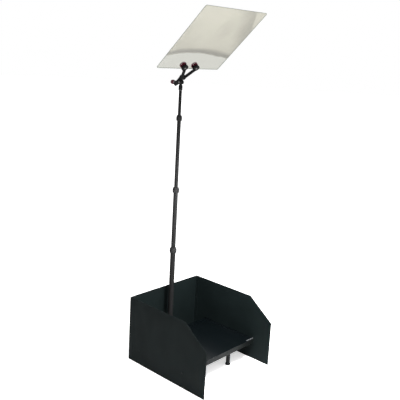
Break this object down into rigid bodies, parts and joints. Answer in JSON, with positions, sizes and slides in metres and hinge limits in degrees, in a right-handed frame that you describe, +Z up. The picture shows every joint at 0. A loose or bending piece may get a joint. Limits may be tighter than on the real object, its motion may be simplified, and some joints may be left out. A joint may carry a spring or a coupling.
{
  "type": "teleprompter",
  "caption": "Floor-standing speech prompter: monitor face up in a three-walled black hood, telescopic pole behind it, tilting head holding a sheet of beam-splitter glass.",
  "frame": {"origin": "on the floor at the middle of the hood", "axes": "+X along the back wall, +Y towards the back wall and the audience, +Z up; the speaker stands on the -Y side"},
  "size_m": [0.5088, 0.5638, 1.8021],
  "materials": {
    "hood_powder": "matte black powder coat",
    "rivet_black": "satin black",
    "frame_powder": "satin black powder coat",
    "rubber_black": "matte",
    "pad_rubber": "matte",
    "monitor_plastic": "fine texture",
    "screen": "semi-gloss",
    "backlight": "diffusing",
    "board": "solder mask",
    "inlet_plastic": "satin",
    "port_metal": "plated",
    "silver_trim": "silver satin",
    "button_plastic": "satin",
    "tube_black": "black anodised",
    "lock_nylon": "satin",
    "collet_nylon": "natural",
    "ring_nylon": "satin grey",
    "head_metal": "satin black",
    "steel": "plated",
    "knob_maroon": "satin",
    "beam_glass": "partly mirrored coating"
  },
  "bodies": {
    "base": {"hood_left": "hood_powder", "hood_right": "hood_powder", "hood_back": "hood_powder", "hood_rivets": "rivet_black", "frame_screws": "rivet_black", "mount_screws": "rivet_black", "front_crossbar": "frame_powder", "rear_crossbar": "frame_powder", "leg_left": "frame_powder", "leg_right": "frame_powder", "monitor_pan": "frame_powder", "pole_clamp": "frame_powder", "pole_foot": "rubber_black", "monitor_rear_shell": "monitor_plastic", "monitor_bezel": "monitor_plastic", "lcd_panel": "screen", "backlight": "backlight", "main_board": "board", "power_inlet": "inlet_plastic", "signal_ports": "port_metal", "control_strip": "silver_trim", "pole_tube": "tube_black", "collet_1": "collet_nylon"},
    "left_foot": {"foot_left": "rubber_black"},
    "right_foot": {"foot_right": "rubber_black"},
    "power_button": {"button_power": "button_plastic"},
    "menu_button": {"button_menu": "button_plastic"},
    "minus_button": {"button_minus": "button_plastic"},
    "plus_button": {"button_plus": "button_plastic"},
    "lock_1": {"collar_1": "lock_nylon"},
    "lock_2": {"collar_2": "lock_nylon"},
    "lock_3": {"collar_3": "lock_nylon"},
    "section_2": {"section_2_tube": "tube_black", "bush_2": "collet_nylon", "collet_2": "collet_nylon"},
    "section_3": {"section_3_tube": "tube_black", "bush_3": "collet_nylon", "collet_3": "collet_nylon"},
    "section_4": {"section_4_tube": "tube_black", "bush_4": "collet_nylon", "swivel_ring": "ring_nylon"},
    "swivel": {"head_post": "head_metal"},
    "head": {"tilt_bar": "head_metal", "pivot_pin": "steel", "clamp_arm_left": "head_metal", "clamp_arm_right": "head_metal", "disc_nuts": "steel", "front_pads": "pad_rubber", "glass_pane": "beam_glass"},
    "tilt_lock_washer": {"tilt_washer": "steel"},
    "tilt_lock_knob": {"tilt_stud": "steel", "tilt_knob": "knob_maroon"},
    "left_pad": {"rear_pad_left": "pad_rubber"},
    "left_knob": {"glass_stud_left": "steel", "glass_knob_left": "knob_maroon"},
    "right_pad": {"rear_pad_right": "pad_rubber"},
    "right_knob": {"glass_stud_right": "steel", "glass_knob_right": "knob_maroon"}
  },
  "joints": [
    {"name": "left_foot_height", "type": "slide", "parent": "base", "child": "left_foot", "axis": [0, 0, -1], "range_m": [0, 0.02]},
    {"name": "right_foot_height", "type": "slide", "parent": "base", "child": "right_foot", "axis": [0, 0, -1], "range_m": [0, 0.02]},
    {"name": "power_press", "type": "slide", "parent": "base", "child": "power_button", "axis": [0, 0, -1], "range_m": [0, 0.0008], "stiffness_N_per_m": 400, "springref_m": -0.0006},
    {"name": "menu_press", "type": "slide", "parent": "base", "child": "menu_button", "axis": [0, 0, -1], "range_m": [0, 0.0008], "stiffness_N_per_m": 400, "springref_m": -0.0006},
    {"name": "minus_press", "type": "slide", "parent": "base", "child": "minus_button", "axis": [0, 0, -1], "range_m": [0, 0.0008], "stiffness_N_per_m": 400, "springref_m": -0.0006},
    {"name": "plus_press", "type": "slide", "parent": "base", "child": "plus_button", "axis": [0, 0, -1], "range_m": [0, 0.0008], "stiffness_N_per_m": 400, "springref_m": -0.0006},
    {"name": "lock_1_twist", "type": "hinge", "parent": "base", "child": "lock_1", "pos_m": [0, 0.226, 0.567], "axis": [0, 0, 1], "range_deg": [0, 90]},
    {"name": "section_2_slide", "type": "slide", "parent": "base", "child": "section_2", "axis": [0, 0, 1], "range_m": [-0.3, 0.045]},
    {"name": "lock_2_twist", "type": "hinge", "parent": "section_2", "child": "lock_2", "pos_m": [0, 0.226, 0.897], "axis": [0, 0, 1], "range_deg": [0, 90]},
    {"name": "section_3_slide", "type": "slide", "parent": "section_2", "child": "section_3", "axis": [0, 0, 1], "range_m": [-0.346, 0]},
    {"name": "lock_3_twist", "type": "hinge", "parent": "section_3", "child": "lock_3", "pos_m": [0, 0.226, 1.273], "axis": [0, 0, 1], "range_deg": [0, 90]},
    {"name": "section_4_slide", "type": "slide", "parent": "section_3", "child": "section_4", "axis": [0, 0, 1], "range_m": [-0.123, 0.235]},
    {"name": "head_pan", "type": "hinge", "parent": "section_4", "child": "swivel", "pos_m": [0, 0.226, 1.414], "axis": [0, 0, 1], "range_deg": [-180, 180]},
    {"name": "head_tilt", "type": "hinge", "parent": "swivel", "child": "head", "pos_m": [0, 0.226, 1.452], "axis": [1, 0, 0], "range_deg": [-30, 25]},
    {"name": "tilt_lock_travel", "type": "slide", "parent": "head", "child": "tilt_lock_washer", "axis": [0, 0.9993, -0.0384], "range_m": [0, 0.002]},
    {"name": "tilt_lock_turn", "type": "hinge", "parent": "tilt_lock_washer", "child": "tilt_lock_knob", "pos_m": [0, 0.226, 1.452], "axis": [0, 0.9993, -0.0384], "range_deg": [0, 720]},
    {"name": "left_clamp_travel", "type": "slide", "parent": "head", "child": "left_pad", "axis": [0, 0.6845, 0.729], "range_m": [0, 0.002]},
    {"name": "left_clamp_turn", "type": "hinge", "parent": "left_pad", "child": "left_knob", "pos_m": [-0.04, 0.16852, 1.5309], "axis": [0, 0.6845, 0.729], "range_deg": [0, 720]},
    {"name": "right_clamp_travel", "type": "slide", "parent": "head", "child": "right_pad", "axis": [0, 0.6845, 0.729], "range_m": [0, 0.002]},
    {"name": "right_clamp_turn", "type": "hinge", "parent": "right_pad", "child": "right_knob", "pos_m": [0.04, 0.16852, 1.5309], "axis": [0, 0.6845, 0.729], "range_deg": [0, 720]}
  ],
  "couplings": [
    {"joint": "tilt_lock_turn", "follows": "tilt_lock_travel", "rad_per_m": 6283.2},
    {"joint": "left_clamp_turn", "follows": "left_clamp_travel", "rad_per_m": 6283.2},
    {"joint": "right_clamp_turn", "follows": "right_clamp_travel", "rad_per_m": 6283.2}
  ]
}
